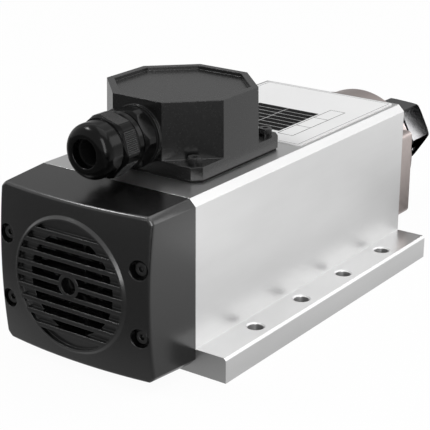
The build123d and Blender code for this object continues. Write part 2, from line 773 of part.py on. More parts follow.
with BuildPart() as rear_cover:
    loft([cover_section(0, 0), cover_section(2 * cover_depth, 0)])
    with Locations((cover_apex + dome_radius, 0, axis_height)):
        Sphere(dome_radius, mode=Mode.INTERSECT)
    dome = rear_cover.faces().filter_by(GeomType.SPHERE)[0]
    fillet(dome.edges(), cover_edge)
    add(cover_room.part, mode=Mode.SUBTRACT)
    # The grille: a proud lip round a sunken floor with an air hole, crossed by slats
    with BuildSketch(facing_rear(grille_inside)):
        Circle(grille_ring_radius)
    extrude(amount=grille_floor + grille_depth - grille_proud)
    with BuildSketch(facing_rear(grille_front + grille_proud)):
        Circle(grille_ring_radius)
    extrude(amount=grille_proud, taper=lip_taper)
    with BuildSketch(facing_rear(grille_back)):
        Circle(grille_radius)
    extrude(amount=3 * grille_depth, mode=Mode.SUBTRACT)
    with BuildSketch(facing_rear(grille_inside)):
        Circle(air_hole_radius)
    extrude(amount=grille_floor, mode=Mode.SUBTRACT)
    with BuildSketch(facing_rear(grille_inside)):
        with GridLocations(0, slat_pitch, 1, slat_count):
            Rectangle(2 * grille_radius, slat_width)
        Circle(hub_ring_radius)
        Circle(grille_radius, mode=Mode.INTERSECT)
        Circle(hub_hole_radius, mode=Mode.SUBTRACT)
    extrude(amount=grille_inside - grille_front)
    with BuildSketch(facing_rear(cover_screw_head)):
        with GridLocations(2 * cover_screw_y, 2 * cover_screw_z, 2, 2):
            Circle(counterbore_radius)
    extrude(amount=3 * counterbore_depth, mode=Mode.SUBTRACT)
    drill_four(facing_rear(cover_screw_head), 2 * cover_screw_y, 2 * cover_screw_z,
               cover_screw[0] + screw_clear, cover_depth)
finish(rear_cover, "rear_cover")

with BuildPart() as rear_cover_screws:
    socket_screws(facing_rear(cover_screw_head), 2 * cover_screw_y, 2 * cover_screw_z, cover_screw,
                  body_rear - cover_screw_head + cover_screw_reach)
finish(rear_cover_screws, "rear_cover_screws")

# Terminal box: an eight sided hood on a square foot, with a sunken panel on top
with BuildPart() as terminal_box:
    with BuildSketch(box_seat.offset(gasket_thickness)):
        RegularPolygon(box_across / 2, 8, major_radius=False, rotation=box_turn)
    extrude(amount=box_top - box_base, taper=box_draft)
    with BuildSketch(box_seat.offset(gasket_thickness)) as box_foot:
        Rectangle(box_across, box_across)
        chamfer(box_foot.vertices(), box_foot_corner)
    extrude(amount=box_foot_height - gasket_thickness)
    with BuildSketch(box_seat.offset(box_height)):
        RegularPolygon(box_top_half - box_rim, 8, major_radius=False, rotation=box_turn)
    extrude(amount=-box_recess, mode=Mode.SUBTRACT)
    with BuildSketch(gland_across(gland_face)):
        Circle(gland_pad_radius)
    extrude(amount=-(gland_pad_proud + box_wall))
    with BuildSketch(box_seat.offset(gasket_thickness)):
        RegularPolygon(box_inner_half, 8, major_radius=False, rotation=box_turn)
    extrude(amount=box_top - box_base - box_recess - box_wall, mode=Mode.SUBTRACT)
    # Boss inside the wall for the thread of the cable gland
    with BuildSketch(gland_across(box_x - box_inner_half)):
        Circle(gland_boss_radius)
    extrude(amount=-gland_boss)
    with BuildSketch(gland_across(gland_face)):
        Circle(gland_thread_radius + seat)
    extrude(amount=gland_face - stem_end, mode=Mode.SUBTRACT)
    drill_four(box_seat.offset(box_foot_height), 2 * box_screw_offset, 2 * box_screw_offset,
               m3_screw[0] + screw_clear, box_foot_height)
finish(terminal_box, "terminal_box")

with BuildPart() as terminal_box_gasket:
    with BuildSketch(box_seat) as gasket_outline:
        Rectangle(box_across - 2 * gasket_inset, box_across - 2 * gasket_inset)
        chamfer(gasket_outline.vertices(), box_foot_corner)
        RegularPolygon(box_inner_half, 8, major_radius=False, rotation=box_turn, mode=Mode.SUBTRACT)
        with GridLocations(2 * box_screw_offset, 2 * box_screw_offset, 2, 2):
            Circle(m3_screw[0] + screw_clear, mode=Mode.SUBTRACT)
    extrude(amount=gasket_thickness)
finish(terminal_box_gasket, "terminal_box_gasket")

with BuildPart() as terminal_box_screws:
    socket_screws(box_seat.offset(box_foot_height), 2 * box_screw_offset, 2 * box_screw_offset, m3_screw,
                  box_foot_height + duct_wall - screw_end_gap)
finish(terminal_box_screws, "terminal_box_screws")

# Terminal block on the body, its clamping screws, fixing screws and the earth screw
with BuildPart() as terminal_block:
    with BuildSketch(Plane((terminal_x, 0, body_height))):
        Rectangle(block_length, block_width)
    extrude(amount=block_height)
    with BuildSketch(Plane((terminal_x, 0, body_height + block_height))):
        with GridLocations(0, terminal_pitch, 1, terminal_count):
            Circle(terminal_screw_radius + seat)
    extrude(amount=-block_height / 2, mode=Mode.SUBTRACT)
    with BuildSketch(Plane((block_rear, 0, lead_height), x_dir=(0, 1, 0), z_dir=(1, 0, 0))):
        with GridLocations(terminal_pitch, 0, terminal_count, 1):
            Circle(lead_radius + seat)
    extrude(amount=block_length, mode=Mode.SUBTRACT)
finish(terminal_block, "terminal_block")

with BuildPart() as terminal_screws:
    screw_top = body_height + block_height - terminal_screw_drop
    screw_foot = lead_height + lead_radius + seat
    with BuildSketch(Plane((terminal_x, 0, screw_foot))):
        with GridLocations(0, terminal_pitch, 1, terminal_count):
            Circle(terminal_screw_radius)
    extrude(amount=screw_top - screw_foot)
    with BuildSketch(Plane((terminal_x, 0, screw_top))):
        with GridLocations(0, terminal_pitch, 1, terminal_count):
            Rectangle(2 * terminal_screw_radius, terminal_slot)
    extrude(amount=-terminal_slot, mode=Mode.SUBTRACT)
finish(terminal_screws, "terminal_screws")

with BuildPart() as earth_screw:
    earth_top = Plane((earth_x, earth_y, body_height))
    with BuildSketch(earth_top):
        Circle(m4_screw[1])
    extrude(amount=m4_screw[2] / 2)
    with BuildSketch(earth_top):
        Circle(m4_screw[0])
    extrude(amount=-duct_wall)
finish(earth_screw, "earth_screw")

# Phase leads from the winding up through the body to the terminal block
with BuildPart() as phase_leads:
    for number in range(terminal_count):
        lead_y = (number - (terminal_count - 1) / 2) * terminal_pitch
        start = Vector(box_x, lead_y, axis_height + winding_outer + gap)
        bend = Vector(box_x, lead_y, lead_height)
        end = Vector(terminal_x + terminal_screw_radius / 2, lead_y, lead_height)
        with BuildLine() as lead_path:
            FilletPolyline(start, bend, end, radius=lead_bend)
        with BuildSketch(Plane(start)):
            Circle(lead_radius)
        sweep(path=lead_path.line)
finish(phase_leads, "phase_leads")

# Cable gland: flat washer, body with its thread and hexagon, seal and clamping cap
with BuildPart() as gland_washer:
    with BuildSketch(gland_across(gland_face)):
        Circle(gland_washer_radius)
        Circle(gland_thread_radius + seat, mode=Mode.SUBTRACT)
    extrude(amount=gland_washer_thickness)
finish(gland_washer, "gland_washer")


def gland_hexagon(rear, length, angle):
    # Hexagon of the gland with both ends turned to a cone, ahead of the place rear
    with BuildSketch(gland_across(rear)) as hexagon:
        RegularPolygon(gland_flats / 2, 6, major_radius=False, rotation=angle)
    extrude(hexagon.sketch, amount=length)
    front = rear - length
    end_radius = gland_turned_radius - gland_edge
    turn((rear, 0), (rear, end_radius), (rear - gland_edge_length, gland_turned_radius),
         (front + gland_edge_length, gland_turned_radius), (front, end_radius), (front, 0),
         start=gland_plane, axis=gland_axis, mode=Mode.INTERSECT)


with BuildPart() as gland_body:
    gland_hexagon(flange_rear, gland_flange, gland_body_turn)
    with BuildSketch(gland_across(stem_end)):
        Circle(gland_thread_radius)
    extrude(amount=stem_end - flange_rear)
    with BuildSketch(gland_across(flange_front)):
        Circle(gland_neck_radius)
    extrude(amount=gland_neck + gland_thread_in_cap)
    with BuildSketch(gland_across(stem_end)):
        Circle(gland_bore_radius)
    extrude(amount=stem_end - flange_front + gland_neck + gland_thread_in_cap, mode=Mode.SUBTRACT)
    with BuildSketch(gland_across(seal_rear + gap)):
        Circle(seal_radius + running)
    extrude(amount=seal_length, mode=Mode.SUBTRACT)
finish(gland_body, "gland_body")

with BuildPart() as gland_seal:
    with BuildSketch(gland_across(seal_rear)):
        Circle(seal_radius)
        Circle(seal_bore_radius, mode=Mode.SUBTRACT)
    extrude(amount=seal_length)
finish(gland_seal, "gland_seal")

with BuildPart() as gland_cap:
    gland_hexagon(cap_rear - cap_collar, cap_hex, gland_cap_turn)
    with BuildSketch(gland_across(cap_rear)):
        Circle(cap_collar_radius)
    extrude(amount=cap_collar)
    with BuildSketch(gland_across(cap_dome_rear)):
        Circle(cap_dome_radius)
    extrude(amount=cap_dome)
    fillet(gland_cap.edges().filter_by(GeomType.CIRCLE).sort_by(Axis.X)[0], cap_dome_round)
    with BuildSketch(gland_across(cap_rear)):
        Circle(gland_neck_radius + running)
    extrude(amount=cap_thread_depth, mode=Mode.SUBTRACT)
    with BuildSketch(gland_across(cap_rear)):
        Circle(seal_radius + running)
    extrude(amount=seal_front_depth, mode=Mode.SUBTRACT)
    with BuildSketch(gland_across(cap_rear)):
        Circle(cap_mouth_radius)
    extrude(amount=cap_rear - cap_front, mode=Mode.SUBTRACT)
    mouth = gland_cap.edges().filter_by(GeomType.CIRCLE).group_by(Axis.X)[0].sort_by(SortBy.RADIUS)[0]
    fillet(mouth, cap_mouth_round)
finish(gland_cap, "gland_cap")

# Plain label plate on the flat top, between the terminal box and the nose
with BuildPart() as label_plate:
    with BuildSketch(Plane.XY.offset(body_height)):
        with Locations((label_rear + label_length / 2, 0)):
            RectangleRounded(label_length, label_width, label_corner)
    extrude(amount=label_thickness)
finish(label_plate, "label_plate")
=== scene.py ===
import json
import math
import bmesh
import bpy
from mathutils import Matrix, Vector


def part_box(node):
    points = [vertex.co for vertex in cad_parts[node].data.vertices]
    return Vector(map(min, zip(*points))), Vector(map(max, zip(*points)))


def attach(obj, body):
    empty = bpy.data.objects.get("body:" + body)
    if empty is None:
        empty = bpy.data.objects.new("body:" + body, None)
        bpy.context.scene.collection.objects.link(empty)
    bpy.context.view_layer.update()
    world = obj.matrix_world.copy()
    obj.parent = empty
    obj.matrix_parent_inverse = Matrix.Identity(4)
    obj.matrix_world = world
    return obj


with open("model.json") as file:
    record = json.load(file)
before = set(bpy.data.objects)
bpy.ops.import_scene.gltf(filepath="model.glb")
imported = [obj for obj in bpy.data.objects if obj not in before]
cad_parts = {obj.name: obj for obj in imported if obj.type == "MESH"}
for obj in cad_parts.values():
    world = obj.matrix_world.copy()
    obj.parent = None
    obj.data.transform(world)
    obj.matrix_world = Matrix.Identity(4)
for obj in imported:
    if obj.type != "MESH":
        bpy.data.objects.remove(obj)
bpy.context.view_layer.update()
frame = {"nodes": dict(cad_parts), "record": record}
cadNodes = frame["nodes"]
axisHeight = 0.0385  # height of the spindle axis above the base
glandHeight = 0.0905  # height of the cable gland's axis
print("the packed spindle is loaded")

# Camera at the photograph's place, soft light and a pale floor
cameraSettings = {
    "place": (-0.49688, -0.34125, 0.25486),
    "right": (0.58056, -0.81420, 0.00544),
    "up": (0.27696, 0.20376, 0.93903),
    "back": (-0.76566, -0.54366, 0.34380),
    "lens": 116.27,
    "sensor": 36,
    "clip": (0.02, 20),
}


def addObject(name, data):
    thing = bpy.data.objects.new(name, data)
    bpy.context.scene.collection.objects.link(thing)
    return thing


cameraData = bpy.data.cameras.new("photoCamera")
cameraData.lens = cameraSettings["lens"]
cameraData.sensor_width = cameraSettings["sensor"]
cameraData.clip_start, cameraData.clip_end = cameraSettings["clip"]
photoCamera = addObject("photoCamera", cameraData)
cameraTurn = Matrix((cameraSettings["right"], cameraSettings["up"], cameraSettings["back"])).transposed()
photoCamera.matrix_world = Matrix.Translation(cameraSettings["place"]) @ cameraTurn.to_4x4()
bpy.context.scene.camera = photoCamera
bpy.context.scene.view_settings.view_transform = "Standard"

studio = {
    "roomColour": (1.0, 1.0, 1.0, 1),
    "roomStrength": 0.5,
    "floorWidth": 8, "paperShade": 0.9, "paperRough": 0.9,
    "floorGlow": 0.96,  # how white the floor is to the camera
    # painted shadow: the floor's glow in reflections is darker beside the object than far from it
    "nearShine": 0.60, "farShine": 1.12, "shineReach": (0.04, 0.16),  # the same in reflections, beside the object
    # painted shade: the floor's glow in reflections is darker past the fan end
    "endShine": 0.40, "endReach": (-0.16, -0.10),  # and the share of that past the fan end
    "cards": {
        # name: (middle, point it faces, width, height, glow), seen in reflections alone
        "backCard": ((1.25, 0.88, 0.62), (0, 0, 0.25), 2.6, 1.1, 0.42),
        "arcCard": ((-0.95, -0.85, 0.60), (-0.10, 0, 0.09), 0.45, 1.2, 9.0),
        "rimCard": ((-0.35, 0.46, 0.80), (-0.11, 0, 0.07), 0.16, 0.12, 32.0),
        "nutLight": ((0.184, -0.041, 0.063), (0.143, -0.0134, 0.045), 0.010, 0.036, 14.0),
        # nutShade, nutDark and facetDark have no glow: dark sheets that put painted shade into reflections
        "nutShade": ((0.21, -0.01, 0.0006), (0.21, -0.01, 1.0), 0.16, 0.14, 0.0),
        "nutDark": ((0.197, -0.0207, 0.048), (0.152, -0.0134, 0.045), 0.04, 0.06, 0.0),
        "facetDark": ((-0.24, -0.25, 0.0006), (-0.24, -0.25, 1.0), 0.17, 0.16, 0.0),
        "sideGlow": ((0.035, -0.148, 0.0006), (0.035, -0.148, 1.0), 0.06, 0.05, 1.9),
    },
    "softboxes": {
        # name: (place, point it faces, width, height, watts)
        "keyBack": ((-0.35, 0.48, 0.80), (-0.05, 0, 0.06), 0.32, 0.22, 1.8),
        "overhead": ((0.25, -0.25, 1.0), (0, 0, 0.05), 0.9, 0.7, 3.0),
        "sideFill": ((0.75, -0.75, 0.55), (0, 0, 0.05), 0.7, 0.5, 2.2),
    },
}


def addSoftbox(name, place, aim, width, height, watts):
    light = bpy.data.lights.new(name, "AREA")
    light.shape = "RECTANGLE"
    light.size = width
    light.size_y = height
    light.energy = watts
    lamp = addObject(name, light)
    lamp.location = place
    lamp.rotation_euler = (Vector(aim) - Vector(place)).to_track_quat("-Z", "Y").to_euler()


for boxName, boxValues in studio["softboxes"].items():
    addSoftbox(boxName, *boxValues)


def addSteps(tree, *kinds):
    return [tree.nodes.new(kind) for kind in kinds]


def mathStep(tree, operation, first, second):
    step = tree.nodes.new("ShaderNodeMath")
    step.operation = operation
    for socket, value in zip(step.inputs, (first, second)):
        if isinstance(value, (int, float)):
            socket.default_value = value
        else:
            tree.links.new(value, socket)
    return step.outputs["Value"]


def rangeStep(tree, value, fromLow, fromHigh, toLow, toHigh):
    step = tree.nodes.new("ShaderNodeMapRange")
    for label, limit in (("From Min", fromLow), ("From Max", fromHigh), ("To Min", toLow), ("To Max", toHigh)):
        step.inputs[label].default_value = limit
    tree.links.new(value, step.inputs["Value"])
    return step.outputs["Result"]


def seenShare(tree, straight, shine):
    # One share for what the camera sees straight, one for metal and glass, and 0 for light on the object
    rays = tree.nodes.new("ShaderNodeLightPath").outputs
    share = mathStep(tree, "MULTIPLY", rays["Is Camera Ray"], straight)
    for ray in ("Is Glossy Ray", "Is Transmission Ray"):
        share = mathStep(tree, "MAXIMUM", share, mathStep(tree, "MULTIPLY", rays[ray], shine))
    return share


studioWorld = bpy.data.worlds.new("studioWorld")
bpy.context.scene.world = studioWorld
studioWorld.use_nodes = True
worldTree = studioWorld.node_tree
worldTree.nodes.clear()
seenRoom, roomLight, worldMix, worldOut = addSteps(
    worldTree, "ShaderNodeBackground", "ShaderNodeBackground", "ShaderNodeMixShader", "ShaderNodeOutputWorld")
seenRoom.inputs["Color"].default_value = (1, 1, 1, 1)
roomLight.inputs["Color"].default_value = studio["roomColour"]
roomLight.inputs["Strength"].default_value = studio["roomStrength"]
worldTree.links.new(seenShare(worldTree, 1, 1), worldMix.inputs["Fac"])
worldTree.links.new(roomLight.outputs["Background"], worldMix.inputs[1])
worldTree.links.new(seenRoom.outputs["Background"], worldMix.inputs[2])
worldTree.links.new(worldMix.outputs["Shader"], worldOut.inputs["Surface"])


def flatMesh(name, width, height):
    mesh = bpy.data.meshes.new(name)
    corners = [(x * width / 2, y * height / 2, 0) for x, y in ((-1, -1), (1, -1), (1, 1), (-1, 1))]
    mesh.from_pydata(corners, [], [(0, 1, 2, 3)])
    return mesh


# The floor glows evenly to the camera; in reflections its glow is painted darker close to the object, a painted
# shadow of the object, and darker past the fan end, painted shade
floorMesh = flatMesh("studioFloor", studio["floorWidth"], studio["floorWidth"])
studioFloor = addObject("studioFloor", floorMesh)
floorPaper = bpy.data.materials.new("floorPaper")
floorPaper.use_nodes = True
paperTree = floorPaper.node_tree
paperShader = paperTree.nodes["Principled BSDF"]
paperShader.inputs["Base Color"].default_value = (*[studio["paperShade"]] * 3, 1)
paperShader.inputs["Roughness"].default_value = studio["paperRough"]
paperGlow, paperMix, paperSplit, paperPlace = addSteps(
    paperTree, "ShaderNodeEmission", "ShaderNodeMixShader", "ShaderNodeSeparateXYZ", "ShaderNodeTexCoord")
paperGlow.inputs["Color"].default_value = (1, 1, 1, 1)
paperTree.links.new(paperPlace.outputs["Object"], paperSplit.inputs["Vector"])
# painted shadow and painted shade in the floor's reflected glow, near the object and past the fan end
sideShine = rangeStep(paperTree, mathStep(paperTree, "MULTIPLY", paperSplit.outputs["Y"], -1),
                      *studio["shineReach"], studio["nearShine"], studio["farShine"])
endShine = rangeStep(paperTree, paperSplit.outputs["X"], *studio["endReach"], studio["endShine"], 1)
floorShine = mathStep(paperTree, "MULTIPLY", sideShine, endShine)
paperTree.links.new(seenShare(paperTree, studio["floorGlow"], 1), paperMix.inputs["Fac"])
paperTree.links.new(seenShare(paperTree, 1, floorShine), paperGlow.inputs["Strength"])
paperTree.links.new(paperShader.outputs["BSDF"], paperMix.inputs[1])
paperTree.links.new(paperGlow.outputs["Emission"], paperMix.inputs[2])
paperTree.links.new(paperMix.outputs["Shader"], paperTree.nodes["Material Output"].inputs["Surface"])
floorMesh.materials.append(floorPaper)


def addCard(name, middle, aim, width, height, glow):
    # A plain card, glowing or dark, that only shows in reflections and shapes them as a studio's cards do: the
    # glowing ones put painted highlights into reflections, and the dark ones painted shade
    mesh = flatMesh(name, width, height)
    facing = (Vector(aim) - Vector(middle)).to_track_quat("Z", "Y").to_matrix().to_4x4()
    mesh.transform(Matrix.Translation(middle) @ facing)
    card = addObject(name, mesh)
    glowing = bpy.data.materials.new(name)
    glowing.use_nodes = True
    shader = glowing.node_tree.nodes["Principled BSDF"]
    for label, value in (("Base Color", (0, 0, 0, 1)), ("Emission Color", (1, 1, 1, 1)),
                         ("Emission Strength", glow), ("Specular IOR Level", 0)):
        shader.inputs[label].default_value = value
    mesh.materials.append(glowing)
    for kind in ("camera", "diffuse", "transmission", "volume_scatter", "shadow"):
        setattr(card, "visible_" + kind, False)


for cardName, cardValues in studio["cards"].items():
    addCard(cardName, *cardValues)
print("camera, lights and floor are set")


# Finishes: each is built from the same few node steps
edgeEasing = {"samples": 6, "radius": 0.0004}


class Finish:
    def __init__(self, name, metal=0.0, rough=0.5, specular=0.5):
        self.material = bpy.data.materials.new(name)
        self.material.use_nodes = True
        self.tree = self.material.node_tree
        self.nodes = self.tree.nodes
        self.links = self.tree.links
        self.shader = self.nodes["Principled BSDF"]
        self.shader.inputs["Metallic"].default_value = metal
        self.shader.inputs["Roughness"].default_value = rough
        self.shader.inputs["Specular IOR Level"].default_value = specular
        self.place = self.nodes.new("ShaderNodeTexCoord").outputs["Object"]

    def stretched(self, scale):
        mapping = self.nodes.new("ShaderNodeMapping")
        mapping.inputs["Scale"].default_value = scale
        self.links.new(self.place, mapping.inputs["Vector"])
        return mapping.outputs["Vector"]

    def noise(self, vector, scale, detail=3, rough=0.5):
        texture = self.nodes.new("ShaderNodeTexNoise")
        texture.inputs["Scale"].default_value = scale
        texture.inputs["Detail"].default_value = detail
        texture.inputs["Roughness"].default_value = rough
        self.links.new(vector, texture.inputs["Vector"])
        return texture.outputs["Fac"]

    def ranged(self, value, low, high, fromLow=0.3, fromHigh=0.7):
        return rangeStep(self.tree, value, fromLow, fromHigh, low, high)

    def maths(self, operation, first, second=0):
        return mathStep(self.tree, operation, first, second)

    def blended(self, factor, first, second):
        mix = self.nodes.new("ShaderNodeMix")
        mix.data_type = "RGBA"
        self.links.new(factor, mix.inputs["Factor"])
        for socket, value in zip((mix.inputs[6], mix.inputs[7]), (first, second)):
            if isinstance(value, tuple):
                socket.default_value = (*value, 1)
            else:
                self.links.new(value, socket)
        return mix.outputs[2]

    def bumped(self, height, strength, distance):
        # Fine relief, on edges that are eased a little
        bump = self.nodes.new("ShaderNodeBump")
        eased = self.nodes.new("ShaderNodeBevel")
        eased.samples = edgeEasing["samples"]
        eased.inputs["Radius"].default_value = edgeEasing["radius"]
        self.links.new(eased.outputs["Normal"], bump.inputs["Normal"])
        bump.inputs["Strength"].default_value = strength
        bump.inputs["Distance"].default_value = distance
        self.links.new(height, bump.inputs["Height"])
        self.links.new(bump.outputs["Normal"], self.shader.inputs["Normal"])

    def colour(self, socket):
        self.links.new(socket, self.shader.inputs["Base Color"])

    def roughness(self, socket):
        self.links.new(socket, self.shader.inputs["Roughness"])

    def axisRadius(self, height):
        # Distance from a line along X at that height
        split = self.nodes.new("ShaderNodeSeparateXYZ")
        self.links.new(self.place, split.inputs["Vector"])
        up = self.maths("SUBTRACT", split.outputs["Z"], height)
        across = split.outputs["Y"]
        squares = self.maths("ADD", self.maths("MULTIPLY", across, across), self.maths("MULTIPLY", up, up))
        return self.maths("SQRT", squares)


extrusion = {
    "dark": (0.60, 0.60, 0.60), "light": (0.66, 0.66, 0.66), "shadedEndColour": (0.33, 0.33, 0.33),
    "rough": (0.43, 0.47), "deckRough": -0.13,  # the second is added on faces that look up
    "dieLines": (3, 900, 900), "clouds": (14, 40, 40), "relief": 0.025, "depth": 0.0001,
}


def makeExtrusionFinish():
    # Fine die lines along X, end faces painted darker as painted shade, and a smoother top
    finish = Finish("satinExtrusion", metal=1.0)
    dieLines = finish.noise(finish.stretched(extrusion["dieLines"]), 1.0, 4, 0.6)
    clouds = finish.noise(finish.stretched(extrusion["clouds"]), 1.0, 3, 0.5)
    skin = finish.blended(finish.ranged(clouds, 0, 1), extrusion["dark"], extrusion["light"])
    facing = finish.nodes.new("ShaderNodeSeparateXYZ")
    finish.links.new(finish.nodes.new("ShaderNodeTexCoord").outputs["Normal"], facing.inputs["Vector"])
    # painted shade: faces that look along X get a darker colour
    paintedEndShade = finish.ranged(finish.maths("ABSOLUTE", facing.outputs["X"]), 0, 1, 0.8, 0.95)
    finish.colour(finish.blended(paintedEndShade, skin, extrusion["shadedEndColour"]))
    smoother = finish.ranged(facing.outputs["Z"], 0, extrusion["deckRough"], 0.9, 0.98)
    finish.roughness(finish.maths("ADD", finish.ranged(dieLines, *extrusion["rough"]), smoother))
    finish.bumped(dieLines, extrusion["relief"], extrusion["depth"])
    return finish.material


skinValues = {"turnedDepth": 0.0001, "turnedClouds": (60, 60, 60), "coatDepth": 0.00012, "coatClouds": 25}


def makeTurnedFinish(name, dark, light, rough, lines, strength):
    # Lathe marks: rings along X on round faces, circles on end faces
    finish = Finish(name, metal=1.0)
    split = finish.nodes.new("ShaderNodeSeparateXYZ")
    finish.links.new(finish.place, split.inputs["Vector"])
    ringPlace = finish.nodes.new("ShaderNodeCombineXYZ")
    finish.links.new(split.outputs["X"], ringPlace.inputs["X"])
    finish.links.new(finish.axisRadius(axisHeight), ringPlace.inputs["Y"])
    marks = finish.noise(ringPlace.outputs["Vector"], lines, 4, 0.7)
    clouds = finish.noise(finish.stretched(skinValues["turnedClouds"]), 1.0, 2, 0.5)
    shade = finish.maths("ADD", finish.maths("MULTIPLY", marks, 0.6), finish.maths("MULTIPLY", clouds, 0.4))
    finish.colour(finish.blended(finish.ranged(shade, 0, 1), dark, light))
    finish.roughness(finish.ranged(marks, *rough))
    finish.bumped(marks, strength, skinValues["turnedDepth"])
    return finish.material


def makeCoatFinish(name, dark, light, rough, grain, strength, specular=0.5):
    # Powder coat or moulded plastic with a fine skin
    finish = Finish(name, specular=specular)
    skin = finish.noise(finish.place, grain, 3, 0.55)
    clouds = finish.noise(finish.place, skinValues["coatClouds"], 3, 0.5)
    finish.colour(finish.blended(finish.ranged(clouds, 0, 1), dark, light))
    finish.roughness(finish.ranged(skin, *rough))
    finish.bumped(skin, strength, skinValues["coatDepth"])
    return finish.material


# slot name: finish, from its name, darkest and lightest colour, roughness from and to, grain and relief
finishes = {
    "anodised_aluminium": makeExtrusionFinish(),
    "nose_metal": makeTurnedFinish("turnedNose", (0.36, 0.311, 0.299), (0.47, 0.412, 0.395), (0.28, 0.42), 1400,
                                   0.25),
    "cast_aluminium": makeCoatFinish("castMetal", (0.42, 0.42, 0.43), (0.52, 0.52, 0.53), (0.5, 0.65), 900, 0.3),
    "bare_steel": makeTurnedFinish("turnedSteel", (0.45, 0.45, 0.46), (0.58, 0.58, 0.59), (0.22, 0.34), 1800, 0.2),
    "bearing_steel": makeTurnedFinish("groundSteel", (0.55, 0.55, 0.56), (0.66, 0.66, 0.67), (0.14, 0.22), 2400, 0.1),
    "black_oxide": makeTurnedFinish("blackenedNut", (0.03, 0.03, 0.031), (0.06, 0.06, 0.062), (0.12, 0.2), 1500,
                                    0.08),
    "black_screws": makeCoatFinish("blackenedScrews", (0.006, 0.006, 0.006), (0.014, 0.014, 0.014), (0.16, 0.24),
                                   2500, 0.1),
    "lamination": makeTurnedFinish("stackedSheet", (0.14, 0.14, 0.15), (0.24, 0.24, 0.25), (0.4, 0.55), 2600, 0.4),
    "winding_copper": makeTurnedFinish("enamelledCopper", (0.42, 0.15, 0.06), (0.60, 0.27, 0.12), (0.25, 0.4), 1600,
                                       0.5),
    "cover_black": makeCoatFinish("coverPowderCoat", (0.004, 0.004, 0.004), (0.006, 0.006, 0.006), (0.2, 0.26), 1100,
                                  0.04, specular=0.65),
    "box_black": makeCoatFinish("boxPowderCoat", (0.005, 0.005, 0.005), (0.008, 0.008, 0.008), (0.22, 0.28), 1300,
                                0.04, specular=0.4),
    "black_plastic": makeCoatFinish("fanPlastic", (0.010, 0.010, 0.010), (0.02, 0.02, 0.02), (0.5, 0.6), 800, 0.1),
    "gland_black": makeCoatFinish("glandPlastic", (0.002, 0.002, 0.002), (0.004, 0.004, 0.004), (0.13, 0.18), 300,
                                  0.05, specular=0.12),
    # painted sheen: the grip's plastic is coloured lighter than the gland's own black, where the knurl catches light
    "grip_black": makeCoatFinish("gripPlasticPaintedSheen", (0.02, 0.02, 0.02), (0.035, 0.035, 0.035), (0.3, 0.4), 300, 0.05),
    "black_rubber": makeCoatFinish("softRubber", (0.006, 0.006, 0.006), (0.010, 0.010, 0.010), (0.65, 0.8), 700, 0.2,
                                   specular=0.1),
    "block_plastic": makeCoatFinish("blockPlastic", (0.55, 0.53, 0.48), (0.62, 0.60, 0.55), (0.4, 0.5), 600, 0.1),
    "brass_screws": makeTurnedFinish("brassScrews", (0.55, 0.42, 0.18), (0.65, 0.52, 0.26), (0.25, 0.35), 1500, 0.2),
    "label_white": makeCoatFinish("labelSheet", (0.90, 0.90, 0.90), (0.93, 0.93, 0.93), (0.35, 0.42), 400, 0.05),
}
slotOfNode = {entry["node"]: entry["material_slot"] for entry in frame["record"]["subparts"]}
for nodeName, nodeObject in cadNodes.items():
    nodeFinish = finishes[slotOfNode[nodeName]]
    for index in range(max(1, len(nodeObject.material_slots))):
        if not nodeObject.material_slots:
            nodeObject.data.materials.append(nodeFinish)
        nodeObject.material_slots[index].material = nodeFinish
print("finishes are on the CAD pieces")


# Small repeated parts are grown by node trees
def startTree(name, sizes):
    # sizes: input name -> (socket kind, value)
    tree = bpy.data.node_groups.new(name, "GeometryNodeTree")
    tree.interface.new_socket("Geometry", in_out="INPUT", socket_type="NodeSocketGeometry")
    for label, (kind, value) in sizes.items():
        tree.interface.new_socket(label, in_out="INPUT", socket_type="NodeSocket" + kind).default_value = value
    tree.interface.new_socket("Geometry", in_out="OUTPUT", socket_type="NodeSocketGeometry")
    return tree, tree.nodes.new("NodeGroupInput"), tree.nodes.new("NodeGroupOutput")


def endTree(tree, grown, exit, finish):
    realize, paint = addSteps(tree, "GeometryNodeRealizeInstances", "GeometryNodeSetMaterial")
    paint.inputs["Material"].default_value = finish
    tree.links.new(grown, realize.inputs["Geometry"])
    tree.links.new(realize.outputs["Geometry"], paint.inputs["Geometry"])
    tree.links.new(paint.outputs["Geometry"], exit.inputs["Geometry"])


def growPiece(name, points, tree, sizes, body):
    # Run a tree on an object made of loose points, and keep the result as a plain mesh
    startMesh = bpy.data.meshes.new(name)
    startMesh.from_pydata(points, [], [])
    piece = addObject(name, startMesh)
    growth = piece.modifiers.new("growth", "NODES")
    growth.node_group = tree
    sockets = {item.name: item.identifier for item in tree.interface.items_tree
               if item.item_type == "SOCKET" and item.in_out == "INPUT"}
    for label, value in sizes.items():
        growth[sockets[label]] = value
    grownMesh = bpy.data.meshes.new_from_object(piece.evaluated_get(bpy.context.evaluated_depsgraph_get()))
    piece.modifiers.remove(growth)
    piece.data = grownMesh
    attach(piece, body)


